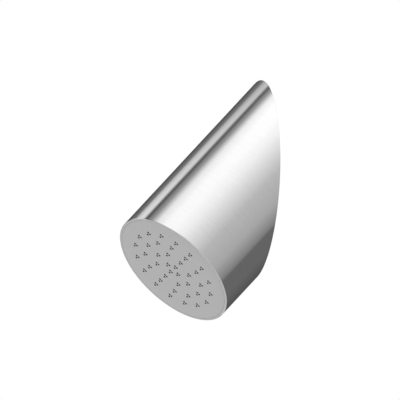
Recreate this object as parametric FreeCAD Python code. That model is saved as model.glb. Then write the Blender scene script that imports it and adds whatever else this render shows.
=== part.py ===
import FreeCAD, Part
import math
import os

# A rain shower head that stands out from a wall: a round steel tube, cut at a slant where it
# meets the wall and closed at its free end by a flat drilled spray face.
# Millimetres. The wall is the plane Y = 0, the head stands on its -Y side, and +Z is up.
# The origin is the middle of the threaded water inlet, in the wall's surface.
# The head's axis starts where it meets the wall and ends in the middle of the spray face.

# Outer form
HEAD_DIAMETER = 100.0
HEAD_LENGTH = 104.0
WALL_ANGLE = math.radians(40.0)
SHELL_WALL = 2.0
SHELL_CHAMFER = 0.3

# Spray face
FACE_THICKNESS = 2.0
FACE_GAP = 0.1
SKIRT_SETBACK = 1.5
SKIRT_WALL = 1.6
JET_DIAMETER = 1.65
JET_SIDES = 6
JET_PAIR_SPACING = 1.95
JET_PAIR_OFFSET = 0.65
LONE_JET_OFFSET = 2.1
FIRST_RING_RADIUS = 5.2
RING_PITCH = 10.4
INNER_RINGS = 3
OUTER_RING_RADIUS = 35.1
CLUSTERS_ADDED_PER_RING = 4

# Water chamber behind the spray face
CHAMBER_DEPTH = 7.0
CHAMBER_ROOF = 3.0
CHAMBER_RIM = 2.2
CHAMBER_SEAL_HEIGHT = 1.5
THREAD_CLEARANCE = 0.05
SLIDING_CLEARANCE = 0.1
BOSS_RADIUS = 14.0
BOSS_HEIGHT = 8.0
RIBS = 6
RIB_THICKNESS = 2.0
RIB_HEIGHT = 6.5
RIB_END_GAP = 4.0
RIB_ROOT = 1.0
SPANNER_SLOT_WIDTH = 4.0
SPANNER_SLOT_LENGTH = 8.0
SPANNER_SLOT_DEPTH = 1.5
BAFFLE_RADIUS = 12.0
BAFFLE_THICKNESS = 1.5
BAFFLE_DROP = 2.5
BAFFLE_LEGS = 3
BAFFLE_LEG = 2.5

# Centring pads between the skirt and the shell
PADS = 3
PAD_ARC = 16.0
PAD_HEIGHT = 6.0
PAD_NUB = 4.0

# Inlet tail, which carries the chamber on the union
TAIL_STEM_RADIUS = 8.0
TAIL_BORE_RADIUS = 5.5
TAIL_FLANGE_THICKNESS = 2.5
TAIL_THREAD_LENGTH = 8.0
TAIL_THREAD_RUNOUT = 1.0
TAIL_COLLAR_FLATS = 22.0
TAIL_COLLAR_HEIGHT = 6.0
TAIL_SEAL_THICKNESS = 1.5
TAIL_SEAL_WIDTH = 3.0

# Union between the elbow and the inlet tail, with a half inch pipe thread
PIPE_THREAD_RADIUS = 10.48
PIPE_SOCKET_RADIUS = 9.3
NUT_FLATS = 26.0
NUT_LENGTH = 18.0
NUT_LIP = 3.0
UNION_GAP = 0.3
UNION_WASHER_THICKNESS = 2.0
UNION_WASHER_BORE = 6.5
FILTER_THICKNESS = 0.5
FILTER_WINDOW = 2.0
FILTER_BAR = 0.6
FILTER_WINDOWS_ACROSS = 4
REGULATOR_LIP_RADIUS = 8.2
REGULATOR_LIP_THICKNESS = 1.5
REGULATOR_BODY_RADIUS = 7.4
REGULATOR_LENGTH = 7.0
REGULATOR_SLOTS = 4
REGULATOR_SLOT_WIDTH = 2.0
REGULATOR_SLOT_LENGTH = 3.5
REGULATOR_CORE_RADIUS = 2.5

# Inlet elbow, a drilled brass block
BEND_DEPTH = 20.0
ELBOW_HALF = 13.0
ELBOW_SPIGOT_RADIUS = 12.2
ELBOW_WATERWAY = 6.5
ELBOW_SHOULDER = 12.0
ELBOW_OUTLET_LENGTH = 26.0
ELBOW_SOCKET_DEPTH = 13.0
ELBOW_EAR_THICKNESS = 5.0
ELBOW_EAR_REACH = 27.0
ELBOW_EAR_TIP = 7.0
EAR_SCREW_OFFSET = 20.0
EAR_SCREW_RADIUS = 2.5
EAR_SCREW_LENGTH = 8.0
EAR_SCREW_HEAD_RADIUS = 4.25
EAR_SCREW_HEAD_HEIGHT = 3.0
EAR_HOLE_CLEARANCE = 0.25

# Wall plate and its gasket
PLATE_THICKNESS = 4.0
GASKET_THICKNESS = 1.0
PLATE_GAP = 0.6
SPIGOT_GAP = 0.2
WALL_SCREW_SPACING_X = 50.0
WALL_SCREW_SPACING_Z = 80.0
WALL_SCREW_HOLE_RADIUS = 2.75

# Lock screw that holds the shell on the wall plate's arm
LOCK_SCREW_RADIUS = 2.0
LOCK_SCREW_LENGTH = 6.0
LOCK_SCREW_RECESS = 0.5
LOCK_KEY_FLATS = 2.0
LOCK_KEY_DEPTH = 2.5
LOCK_SETBACK = 24.0
LOCK_NUT_SIDE = 7.0
LOCK_NUT_HEIGHT = 3.0
ARM_WIDTH = 12.0
ARM_THICKNESS = 5.0
ARM_OVERRUN = 5.0

# Radii that follow
HEAD_RADIUS = HEAD_DIAMETER / 2
SHELL_INNER = HEAD_RADIUS - SHELL_WALL
FACE_RADIUS = SHELL_INNER - FACE_GAP
SKIRT_RADIUS = FACE_RADIUS - SKIRT_SETBACK
SKIRT_INNER = SKIRT_RADIUS - SKIRT_WALL
CHAMBER_RADIUS = SKIRT_INNER - SLIDING_CLEARANCE
CHAMBER_INNER = CHAMBER_RADIUS - CHAMBER_RIM
UNION_BORE = PIPE_THREAD_RADIUS + THREAD_CLEARANCE
UNION_PACK_RADIUS = UNION_BORE - UNION_GAP
PLATE_RADIUS = SHELL_INNER - PLATE_GAP
ARM_FACE = HEAD_RADIUS - LOCK_SCREW_RECESS - LOCK_SCREW_LENGTH

# Stations along the head's axis, measured from the wall's surface
FACE_Z = HEAD_LENGTH
FACE_BACK_Z = FACE_Z - FACE_THICKNESS
LOCK_Z = FACE_Z - LOCK_SETBACK
CHAMBER_RIM_Z = FACE_BACK_Z - CHAMBER_SEAL_HEIGHT
CHAMBER_ROOF_Z = FACE_BACK_Z - CHAMBER_DEPTH
CHAMBER_TOP_Z = CHAMBER_ROOF_Z - CHAMBER_ROOF
BOSS_TOP_Z = CHAMBER_TOP_Z - BOSS_HEIGHT
COLLAR_END_Z = BOSS_TOP_Z - TAIL_SEAL_THICKNESS
COLLAR_START_Z = COLLAR_END_Z - TAIL_COLLAR_HEIGHT
BEND_Z = BEND_DEPTH / math.sin(WALL_ANGLE)
OUTLET_END_Z = BEND_Z + ELBOW_OUTLET_LENGTH
FILTER_END_Z = OUTLET_END_Z + FILTER_THICKNESS
WASHER_END_Z = FILTER_END_Z + UNION_WASHER_THICKNESS
FLANGE_END_Z = WASHER_END_Z + TAIL_FLANGE_THICKNESS
NUT_END_Z = FLANGE_END_Z + NUT_LIP

# Depths from the wall's surface
PLATE_FRONT_DEPTH = GASKET_THICKNESS + PLATE_THICKNESS
EAR_FRONT_DEPTH = PLATE_FRONT_DEPTH + ELBOW_EAR_THICKNESS

# Where the head's axis meets the wall, and the middle of the wall plate
AXIS_START_HEIGHT = BEND_DEPTH / math.tan(WALL_ANGLE)
PLATE_MIDDLE_HEIGHT = (BEND_DEPTH - (GASKET_THICKNESS + PLATE_FRONT_DEPTH) / 2) / math.tan(WALL_ANGLE)

# The head's own frame: Z runs along the axis towards the spray face, and Y away from the wall
HEAD_FRAME = FreeCAD.Placement(
    FreeCAD.Vector(0, 0, AXIS_START_HEIGHT),
    FreeCAD.Rotation(FreeCAD.Vector(1, 0, 0), 180 - math.degrees(WALL_ANGLE)),
)
AXIS_DIRECTION = FreeCAD.Vector(0, -math.sin(WALL_ANGLE), -math.cos(WALL_ANGLE))
OUTWARD = FreeCAD.Vector(0, -math.cos(WALL_ANGLE), math.sin(WALL_ANGLE))
BEND_POINT = FreeCAD.Vector(0, -BEND_DEPTH, 0)
X_AXIS = FreeCAD.Vector(1, 0, 0)
Y_AXIS = FreeCAD.Vector(0, 1, 0)
Z_AXIS = FreeCAD.Vector(0, 0, 1)
ORIGIN = FreeCAD.Vector(0, 0, 0)

# Where a bar on the head's axis starts, well behind the wall, and a length past the whole head
BAR_START = -HEAD_DIAMETER / math.tan(WALL_ANGLE)
PAST_ALL = 2 * (HEAD_LENGTH + HEAD_DIAMETER)


def in_head(shape):
    """A shape drawn in the head's own frame, put in its place on the wall."""
    placed = shape.copy()
    placed.Placement = HEAD_FRAME.multiply(placed.Placement)
    return placed


def turned(outline, angle=360.0):
    """The solid that a closed outline of (radius, height) points makes when it turns about Z."""
    points = [FreeCAD.Vector(radius, 0, height) for radius, height in outline]
    face = Part.Face(Part.makePolygon(points + points[:1]))
    return face.revolve(ORIGIN, Z_AXIS, angle)


def ring(inner, outer, low, high):
    """A plain ring of rectangular section about Z."""
    return turned([(inner, low), (outer, low), (outer, high), (inner, high)])


def prism(sides, corner_radius, low, high, middle=ORIGIN):
    """An upright prism on a regular polygon."""
    corners = []
    for index in range(sides + 1):
        angle = 2 * math.pi * index / sides
        across = FreeCAD.Vector(math.cos(angle), math.sin(angle), 0) * corner_radius
        corners.append(middle + across + FreeCAD.Vector(0, 0, low))
    return Part.Face(Part.makePolygon(corners)).extrude(FreeCAD.Vector(0, 0, high - low))


def hexagon(flats, low, high):
    """A hexagonal bar, sized across its flats."""
    return prism(6, flats / 2 / math.cos(math.pi / 6), low, high)


def block(width, depth, low, high, middle_x=0.0, middle_y=0.0):
    """A box with its middle at a point, between two heights."""
    corner = FreeCAD.Vector(middle_x - width / 2, middle_y - depth / 2, low)
    return Part.makeBox(width, depth, high - low, corner)


def drill(radius, start, direction, length):
    """A drilled hole's cylinder."""
    return Part.makeCylinder(radius, length, start, direction)


def around(shape, count, start=0.0):
    """Copies of a shape, evenly spaced about Z, with the first turned by start degrees."""
    copies = []
    for index in range(count):
        turned_copy = shape.copy()
        turned_copy.rotate(ORIGIN, Z_AXIS, start + 360.0 * index / count)
        copies.append(turned_copy)
    return copies


def between_depths(near, far):
    """A slab, wider than the head, between two depths from the wall."""
    corner = FreeCAD.Vector(-PAST_ALL, -far, -PAST_ALL)
    return Part.makeBox(2 * PAST_ALL, far - near, 2 * PAST_ALL, corner)


def slice_of_head(radius, near, far):
    """The slice of a round bar on the head's axis between two depths from the wall."""
    bar = Part.makeCylinder(radius, FACE_Z - BAR_START, FreeCAD.Vector(0, 0, BAR_START))
    return in_head(bar).common(between_depths(near, far))


def in_front_of(shape, depth):
    """The part of a shape that lies further from the wall than a depth."""
    return shape.common(between_depths(depth, PAST_ALL))


def cluster_middles():
    """The middle of each cluster of jets: rings of 4, 8, 12 and 16, each starting on X."""
    radii = [FIRST_RING_RADIUS + index * RING_PITCH for index in range(INNER_RINGS)]
    radii.append(OUTER_RING_RADIUS)
    middles = []
    for index, radius in enumerate(radii):
        count = CLUSTERS_ADDED_PER_RING * (index + 1)
        for place in range(count):
            angle = 2 * math.pi * place / count
            middles.append(FreeCAD.Vector(radius * math.cos(angle), radius * math.sin(angle), 0))
    return middles


def jet_middles():
    """The middle of each jet: a pair side by side and a lone one towards -X, in every cluster."""
    offsets = [
        FreeCAD.Vector(-LONE_JET_OFFSET, 0, 0),
        FreeCAD.Vector(JET_PAIR_OFFSET, -JET_PAIR_SPACING / 2, 0),
        FreeCAD.Vector(JET_PAIR_OFFSET, JET_PAIR_SPACING / 2, 0),
    ]
    return [middle + offset for middle in cluster_middles() for offset in offsets]


def lock_hole(radius):
    """The lock screw's hole, in the head's own frame, through the lowest line of the shell."""
    start = FreeCAD.Vector(0, -ARM_FACE, LOCK_Z)
    return drill(radius, start, -Y_AXIS, HEAD_RADIUS)


def cover_shell():
    """The slant-cut steel tube, with a fine chamfer round its free end and the lock screw's hole."""
    tube = turned([
        (SHELL_INNER, BAR_START),
        (HEAD_RADIUS, BAR_START),
        (HEAD_RADIUS, FACE_Z - SHELL_CHAMFER),
        (HEAD_RADIUS - SHELL_CHAMFER, FACE_Z),
        (SHELL_INNER, FACE_Z),
    ])
    tube = tube.cut(lock_hole(LOCK_SCREW_RADIUS + THREAD_CLEARANCE))
    return in_front_of(in_head(tube), 0)


def lock_nut():
    """The square nut welded inside the shell, curved to its wall, for the lock screw."""
    low = LOCK_Z - LOCK_NUT_SIDE / 2
    high = LOCK_Z + LOCK_NUT_SIDE / 2
    nut = block(LOCK_NUT_SIDE, LOCK_NUT_HEIGHT, low, high, 0, LOCK_NUT_HEIGHT / 2 - SHELL_INNER)
    nut = nut.common(Part.makeCylinder(SHELL_INNER, HEAD_LENGTH))
    return in_head(nut.cut(lock_hole(LOCK_SCREW_RADIUS + THREAD_CLEARANCE)))


def lock_screw():
    """The headless lock screw, with a hexagon socket, whose tip bears on the wall plate's arm."""
    screw = Part.makeCylinder(LOCK_SCREW_RADIUS, LOCK_SCREW_LENGTH)
    socket = hexagon(LOCK_KEY_FLATS, LOCK_SCREW_LENGTH - LOCK_KEY_DEPTH, LOCK_SCREW_LENGTH)
    screw = screw.cut(socket)
    screw.rotate(ORIGIN, X_AXIS, 90)
    screw.translate(FreeCAD.Vector(0, -ARM_FACE, LOCK_Z))
    return in_head(screw)


def pad_window():
    """The opening in the skirt that takes a centring pad's nub, on the X axis."""
    side = PAD_NUB + 2 * SLIDING_CLEARANCE
    middle = CHAMBER_RIM_Z - PAD_HEIGHT / 2
    return block(2 * SKIRT_WALL, side, middle - side / 2, middle + side / 2, SKIRT_RADIUS - SKIRT_WALL / 2)


def spray_face():
    """The drilled steel face in one piece with the threaded skirt that holds the chamber."""
    cup = turned([
        (0, FACE_BACK_Z),
        (SKIRT_INNER, FACE_BACK_Z),
        (SKIRT_INNER, CHAMBER_TOP_Z),
        (SKIRT_RADIUS, CHAMBER_TOP_Z),
        (SKIRT_RADIUS, FACE_BACK_Z),
        (FACE_RADIUS, FACE_BACK_Z),
        (FACE_RADIUS, FACE_Z),
        (0, FACE_Z),
    ])
    # The jets' bores have as many sides as keep the face light, and a round bore's area
    side_angle = math.pi / JET_SIDES
    corner = JET_DIAMETER / 2 * math.sqrt(side_angle / (math.sin(side_angle) * math.cos(side_angle)))
    jets = [prism(JET_SIDES, corner, FACE_BACK_Z, FACE_Z, middle) for middle in jet_middles()]
    cup = cup.cut(Part.makeCompound(jets))
    return in_head(cup.cut(Part.makeCompound(around(pad_window(), PADS, 90))))


def centring_pads():
    """Nylon pads on the skirt that keep the face in the middle of the shell."""
    low = CHAMBER_RIM_Z - PAD_HEIGHT
    inner = SKIRT_RADIUS + THREAD_CLEARANCE
    outer = SHELL_INNER - SLIDING_CLEARANCE
    pad = turned([(inner, low), (outer, low), (outer, CHAMBER_RIM_Z), (inner, CHAMBER_RIM_Z)], PAD_ARC)
    pad.rotate(ORIGIN, Z_AXIS, -PAD_ARC / 2)
    middle = CHAMBER_RIM_Z - PAD_HEIGHT / 2
    nub_start = SKIRT_INNER + SLIDING_CLEARANCE
    nub_end = (inner + outer) / 2
    nub = block(
        nub_end - nub_start, PAD_NUB, middle - PAD_NUB / 2, middle + PAD_NUB / 2, (nub_start + nub_end) / 2
    )
    return in_head(Part.makeCompound(around(pad.fuse(nub), PADS, 90)))


def chamber_seal():
    """The rubber ring between the spray face and the chamber's rim."""
    return in_head(ring(CHAMBER_INNER, CHAMBER_RADIUS, CHAMBER_RIM_Z, FACE_BACK_Z))


def chamber_rib():
    """One stiffening rib, which falls from the boss towards the rim, on the X axis."""
    outline = [
        FreeCAD.Vector(BOSS_RADIUS - RIB_ROOT, -RIB_THICKNESS / 2, CHAMBER_TOP_Z),
        FreeCAD.Vector(CHAMBER_INNER - RIB_END_GAP, -RIB_THICKNESS / 2, CHAMBER_TOP_Z),
        FreeCAD.Vector(BOSS_RADIUS - RIB_ROOT, -RIB_THICKNESS / 2, CHAMBER_TOP_Z - RIB_HEIGHT),
    ]
    face = Part.Face(Part.makePolygon(outline + outline[:1]))
    return face.extrude(FreeCAD.Vector(0, RIB_THICKNESS, 0))


def chamber_back():
    """The moulded lid of the water chamber, screwed into the skirt, with a ribbed inlet boss."""
    lid = turned([
        (TAIL_BORE_RADIUS, CHAMBER_ROOF_Z),
        (CHAMBER_INNER, CHAMBER_ROOF_Z),
        (CHAMBER_INNER, CHAMBER_RIM_Z),
        (CHAMBER_RADIUS, CHAMBER_RIM_Z),
        (CHAMBER_RADIUS, CHAMBER_TOP_Z),
        (BOSS_RADIUS, CHAMBER_TOP_Z),
        (BOSS_RADIUS, BOSS_TOP_Z),
        (TAIL_BORE_RADIUS, BOSS_TOP_Z),
    ])
    lid = lid.fuse(around(chamber_rib(), RIBS))
    mouth = FreeCAD.Vector(0, 0, BOSS_TOP_Z)
    thread_depth = TAIL_THREAD_LENGTH + TAIL_THREAD_RUNOUT
    lid = lid.cut(drill(TAIL_STEM_RADIUS + THREAD_CLEARANCE, mouth, Z_AXIS, thread_depth))
    slot_middle = (BOSS_RADIUS + CHAMBER_RADIUS) / 2
    slot = block(
        SPANNER_SLOT_LENGTH,
        SPANNER_SLOT_WIDTH,
        CHAMBER_TOP_Z,
        CHAMBER_TOP_Z + SPANNER_SLOT_DEPTH,
        slot_middle,
    )
    return in_head(lid.cut(around(slot, 2, 90)))


def baffle_disc():
    """The disc under the inlet that sends the water outwards, on legs from the chamber's roof."""
    top = CHAMBER_ROOF_Z + BAFFLE_DROP
    disc = Part.makeCylinder(BAFFLE_RADIUS, BAFFLE_THICKNESS, FreeCAD.Vector(0, 0, top))
    leg = block(BAFFLE_LEG, BAFFLE_LEG, CHAMBER_ROOF_Z, top, BAFFLE_RADIUS - BAFFLE_LEG)
    return in_head(disc.fuse(around(leg, BAFFLE_LEGS)).removeSplitter())


def inlet_tail():
    """The brass tail: a flange held by the union nut, a hexagon collar and a thread in the boss."""
    tail = turned([
        (TAIL_BORE_RADIUS, WASHER_END_Z),
        (UNION_PACK_RADIUS, WASHER_END_Z),
        (UNION_PACK_RADIUS, FLANGE_END_Z),
        (TAIL_STEM_RADIUS, FLANGE_END_Z),
        (TAIL_STEM_RADIUS, BOSS_TOP_Z + TAIL_THREAD_LENGTH),
        (TAIL_BORE_RADIUS, BOSS_TOP_Z + TAIL_THREAD_LENGTH),
    ])
    collar = hexagon(TAIL_COLLAR_FLATS, COLLAR_START_Z, COLLAR_END_Z)
    bore = drill(TAIL_BORE_RADIUS, FreeCAD.Vector(0, 0, COLLAR_START_Z), Z_AXIS, TAIL_COLLAR_HEIGHT)
    return in_head(tail.fuse(collar.cut(bore)))


def tail_seal():
    """The rubber ring under the tail's collar."""
    inner = TAIL_STEM_RADIUS + THREAD_CLEARANCE
    return in_head(ring(inner, inner + TAIL_SEAL_WIDTH, COLLAR_END_Z, BOSS_TOP_Z))


def union_nut():
    """The hexagon union nut, whose lip draws the tail's flange onto the elbow's outlet."""
    start = NUT_END_Z - NUT_LENGTH
    nut = hexagon(NUT_FLATS, start, NUT_END_Z)
    nut = nut.cut(drill(UNION_BORE, FreeCAD.Vector(0, 0, start), Z_AXIS, NUT_LENGTH - NUT_LIP))
    lip_bore = TAIL_STEM_RADIUS + UNION_GAP
    return in_head(nut.cut(drill(lip_bore, FreeCAD.Vector(0, 0, start), Z_AXIS, NUT_LENGTH)))


def union_washer():
    """The flat rubber washer in the union."""
    return in_head(ring(UNION_WASHER_BORE, UNION_PACK_RADIUS, FILTER_END_Z, WASHER_END_Z))


def filter_screen():
    """The fine screen in the union, which keeps grit out of the jets, drawn with coarse windows."""
    screen = Part.makeCylinder(UNION_PACK_RADIUS, FILTER_THICKNESS, FreeCAD.Vector(0, 0, OUTLET_END_Z))
    pitch = FILTER_WINDOW + FILTER_BAR
    half_row = (FILTER_WINDOWS_ACROSS - 1) / 2
    windows = []
    for column in range(FILTER_WINDOWS_ACROSS):
        for row in range(FILTER_WINDOWS_ACROSS):
            x = (column - half_row) * pitch
            y = (row - half_row) * pitch
            if math.hypot(abs(x) + FILTER_WINDOW / 2, abs(y) + FILTER_WINDOW / 2) < UNION_WASHER_BORE:
                windows.append(block(FILTER_WINDOW, FILTER_WINDOW, OUTLET_END_Z, FILTER_END_Z, x, y))
    return in_head(screen.cut(Part.makeCompound(windows)))


def flow_regulator():
    """The moulded insert in the elbow's outlet that limits the flow, with slots round a core."""
    body = turned([
        (0, OUTLET_END_Z - REGULATOR_LENGTH),
        (REGULATOR_BODY_RADIUS, OUTLET_END_Z - REGULATOR_LENGTH),
        (REGULATOR_BODY_RADIUS, OUTLET_END_Z - REGULATOR_LIP_THICKNESS),
        (REGULATOR_LIP_RADIUS, OUTLET_END_Z - REGULATOR_LIP_THICKNESS),
        (REGULATOR_LIP_RADIUS, OUTLET_END_Z),
        (0, OUTLET_END_Z),
    ])
    slot = block(
        REGULATOR_SLOT_LENGTH,
        REGULATOR_SLOT_WIDTH,
        OUTLET_END_Z - REGULATOR_LENGTH,
        OUTLET_END_Z,
        REGULATOR_CORE_RADIUS + REGULATOR_SLOT_LENGTH / 2,
    )
    return in_head(body.cut(around(slot, REGULATOR_SLOTS)))


def elbow_block():
    """The elbow's square body, mitred where the inlet's axis turns onto the head's axis."""
    half_turn = (math.pi / 2 - WALL_ANGLE) / 2
    mitre_direction = (Z_AXIS + OUTWARD).normalize()
    mitre = mitre_direction * (ELBOW_HALF / math.cos(half_turn))
    start = FreeCAD.Vector(0, -PLATE_FRONT_DEPTH, 0)
    end = BEND_POINT + AXIS_DIRECTION * ELBOW_SHOULDER
    outline = [
        start + Z_AXIS * ELBOW_HALF,
        BEND_POINT + mitre,
        end + OUTWARD * ELBOW_HALF,
        end - OUTWARD * ELBOW_HALF,
        BEND_POINT - mitre,
        start - Z_AXIS * ELBOW_HALF,
    ]
    face = Part.Face(Part.makePolygon(outline + outline[:1]))
    face.translate(FreeCAD.Vector(-ELBOW_HALF, 0, 0))
    return face.extrude(X_AXIS * (2 * ELBOW_HALF))


def elbow_ears():
    """The flat ears by which the elbow is screwed to the wall plate, tapered to their tips."""
    quarter = [(ELBOW_EAR_REACH, ELBOW_EAR_TIP), (ELBOW_HALF, ELBOW_HALF)]
    half = quarter + [(-x, z) for x, z in reversed(quarter)]
    outline = half + [(-x, -z) for x, z in half]
    points = [FreeCAD.Vector(x, -PLATE_FRONT_DEPTH, z) for x, z in outline]
    face = Part.Face(Part.makePolygon(points + points[:1]))
    return face.extrude(-Y_AXIS * ELBOW_EAR_THICKNESS)


def ear_screw_starts(depth):
    """The middles of the two ear screws at a depth from the wall."""
    return [FreeCAD.Vector(side * EAR_SCREW_OFFSET, -depth, 0) for side in (-1, 1)]


def elbow_waterways():
    """The elbow's two straight waterways, each ended on the mitre plane through the bend."""
    mitre_normal = (AXIS_DIRECTION - Y_AXIS).normalize()
    past_mitre = drill(PAST_ALL, BEND_POINT, mitre_normal, PAST_ALL)
    inlet_way = drill(ELBOW_WATERWAY, ORIGIN, -Y_AXIS, 2 * BEND_DEPTH).cut(past_mitre)
    outlet_start = BEND_POINT - AXIS_DIRECTION * BEND_DEPTH
    outlet_way = drill(ELBOW_WATERWAY, outlet_start, AXIS_DIRECTION, BEND_DEPTH + ELBOW_OUTLET_LENGTH)
    return inlet_way.fuse(outlet_way.common(past_mitre))


def elbow():
    """The brass elbow: inlet socket through the wall plate, a bend, and the threaded outlet."""
    spigot = drill(ELBOW_SPIGOT_RADIUS, ORIGIN, -Y_AXIS, PLATE_FRONT_DEPTH)
    outlet = drill(PIPE_THREAD_RADIUS, BEND_POINT, AXIS_DIRECTION, ELBOW_OUTLET_LENGTH)
    body = elbow_block().fuse([elbow_ears(), spigot, outlet]).removeSplitter()
    seat_depth = REGULATOR_LENGTH + SLIDING_CLEARANCE
    seat_start = BEND_POINT + AXIS_DIRECTION * (ELBOW_OUTLET_LENGTH - seat_depth)
    bores = [
        elbow_waterways(),
        drill(PIPE_SOCKET_RADIUS, ORIGIN, -Y_AXIS, ELBOW_SOCKET_DEPTH),
        drill(REGULATOR_LIP_RADIUS + SLIDING_CLEARANCE, seat_start, AXIS_DIRECTION, seat_depth),
    ]
    for start in ear_screw_starts(PLATE_FRONT_DEPTH):
        bores.append(drill(EAR_SCREW_RADIUS + EAR_HOLE_CLEARANCE, start, -Y_AXIS, ELBOW_EAR_THICKNESS))
    return body.cut(bores)


def elbow_screws():
    """The two screws through the elbow's ears into the wall plate."""
    screws = []
    for seat in ear_screw_starts(EAR_FRONT_DEPTH):
        head = drill(EAR_SCREW_HEAD_RADIUS, seat, -Y_AXIS, EAR_SCREW_HEAD_HEIGHT)
        shank = drill(EAR_SCREW_RADIUS, seat, Y_AXIS, EAR_SCREW_LENGTH)
        socket = hexagon(EAR_SCREW_RADIUS, 0, EAR_SCREW_HEAD_HEIGHT / 2)
        socket.rotate(ORIGIN, X_AXIS, 90)
        socket.translate(seat - Y_AXIS * (EAR_SCREW_HEAD_HEIGHT / 2))
        screws.append(head.fuse(shank).cut(socket))
    return Part.makeCompound(screws)


def wall_screw_holes():
    """The four holes for the wall's screws, through the wall plate and its gasket."""
    holes = []
    for side in (-1, 1):
        for level in (-1, 1):
            x = side * WALL_SCREW_SPACING_X / 2
            z = PLATE_MIDDLE_HEIGHT + level * WALL_SCREW_SPACING_Z / 2
            holes.append(drill(WALL_SCREW_HOLE_RADIUS, FreeCAD.Vector(x, 0, z), -Y_AXIS, PLATE_FRONT_DEPTH))
    return holes


def wall_plate():
    """The plate that is screwed to the wall, edged to the shell's slant, with the lock screw's arm."""
    plate = slice_of_head(PLATE_RADIUS, GASKET_THICKNESS, PLATE_FRONT_DEPTH)
    arm = block(ARM_WIDTH, ARM_THICKNESS, 0, LOCK_Z + ARM_OVERRUN, 0, ARM_THICKNESS / 2 - ARM_FACE)
    plate = plate.fuse(in_front_of(in_head(arm), GASKET_THICKNESS)).removeSplitter()
    holes = wall_screw_holes()
    holes.append(drill(ELBOW_SPIGOT_RADIUS + SPIGOT_GAP, ORIGIN, -Y_AXIS, PLATE_FRONT_DEPTH))
    for start in ear_screw_starts(GASKET_THICKNESS):
        holes.append(drill(EAR_SCREW_RADIUS + THREAD_CLEARANCE, start, -Y_AXIS, PLATE_THICKNESS))
    return plate.cut(holes)


def wall_gasket():
    """The soft gasket between the wall plate and the wall."""
    gasket = slice_of_head(PLATE_RADIUS, 0, GASKET_THICKNESS)
    holes = wall_screw_holes()
    holes.append(drill(ELBOW_SPIGOT_RADIUS + SPIGOT_GAP, ORIGIN, -Y_AXIS, GASKET_THICKNESS))
    return gasket.cut(holes)


PIECES = [
    cover_shell,
    lock_nut,
    lock_screw,
    spray_face,
    centring_pads,
    chamber_seal,
    chamber_back,
    baffle_disc,
    inlet_tail,
    tail_seal,
    union_nut,
    union_washer,
    filter_screen,
    flow_regulator,
    elbow,
    elbow_screws,
    wall_plate,
    wall_gasket,
]

os.makedirs("parts", exist_ok=True)
for piece in PIECES:
    shape = piece()
    shape.exportStep(f"parts/{piece.__name__}.step")
    box = shape.optimalBoundingBox(False)
    print(
        f"{piece.__name__}: {len(shape.Solids)} solid(s), valid {shape.isValid()}, {shape.Volume:.1f} mm3,"
        f" {box.XLength:.1f} x {box.YLength:.1f} x {box.ZLength:.1f} mm"
    )
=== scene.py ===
"""The looks of a wall rain shower head: a slant-cut satin steel tube with a drilled spray face.

Lengths are metres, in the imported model's frame. The wall is the plane Y = 0, the head stands on its -Y
side, and +Z is up. The head's own frame has its Z along the axis towards the spray face and its Y away
from the wall.
"""

import logging
import math
from collections.abc import Callable, Iterable, Sequence
from dataclasses import dataclass, field
from enum import Enum

import bmesh
import bpy
from bpy.types import Camera, Material, Mesh, Node, NodeSocket, NodeTree, Object, World
from mathutils import Matrix, Vector


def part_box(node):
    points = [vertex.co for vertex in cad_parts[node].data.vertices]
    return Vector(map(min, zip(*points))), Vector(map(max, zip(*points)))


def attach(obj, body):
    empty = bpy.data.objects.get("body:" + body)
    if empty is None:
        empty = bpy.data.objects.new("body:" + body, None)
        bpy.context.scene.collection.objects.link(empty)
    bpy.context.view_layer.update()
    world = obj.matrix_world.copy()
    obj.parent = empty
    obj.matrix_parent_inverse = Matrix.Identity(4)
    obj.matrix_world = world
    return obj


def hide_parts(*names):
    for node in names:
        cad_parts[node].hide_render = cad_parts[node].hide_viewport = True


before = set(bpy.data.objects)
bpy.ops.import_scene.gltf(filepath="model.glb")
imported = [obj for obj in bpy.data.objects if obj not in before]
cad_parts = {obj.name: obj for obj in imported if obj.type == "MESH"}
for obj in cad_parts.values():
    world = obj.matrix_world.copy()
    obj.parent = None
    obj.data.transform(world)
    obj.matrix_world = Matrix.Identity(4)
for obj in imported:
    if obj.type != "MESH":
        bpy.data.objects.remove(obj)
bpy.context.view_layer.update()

LOG = logging.getLogger("shower_head")
MM = 0.001
BODY = "root"

# Points that lie closer than this are merged
MERGE_DISTANCE = 0.001 * MM

# The half inch pipe thread of the inlet and of the union
PIPE_RADIUS = 10.48 * MM
PIPE_PITCH = 1.814 * MM
PIPE_DEPTH = 1.16 * MM

# A hexagon's distance from its middle to a flat, as a share of the distance to a corner
FLAT_SHARE = math.cos(math.pi / 6)
KEY_LEAD_IN = 0.1 * MM
FINE_STEPS = 5

# The mix node's sockets for colours, which have the same names as its sockets for numbers
MIX_FACTOR, MIX_FIRST, MIX_SECOND, MIX_RESULT = 0, 6, 7, 2
NOISE_ROUGHNESS = 0.55

Length = float | Callable[[float], float]
Point = tuple[float, float]


def linear(hex_colour: str) -> tuple[float, float, float, float]:
    """Turns an sRGB colour into the linear colour that a shader takes.

    Args:
        hex_colour: A hash sign and six hex digits.

    Returns:
        Red, green and blue, and an alpha of one.
    """
    channels = []
    for start in (1, 3, 5):
        value = int(hex_colour[start:start + 2], 16) / 255
        channels.append(value / 12.92 if value <= 0.04045 else ((value + 0.055) / 1.055) ** 2.4)
    return (*channels, 1.0)


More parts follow.
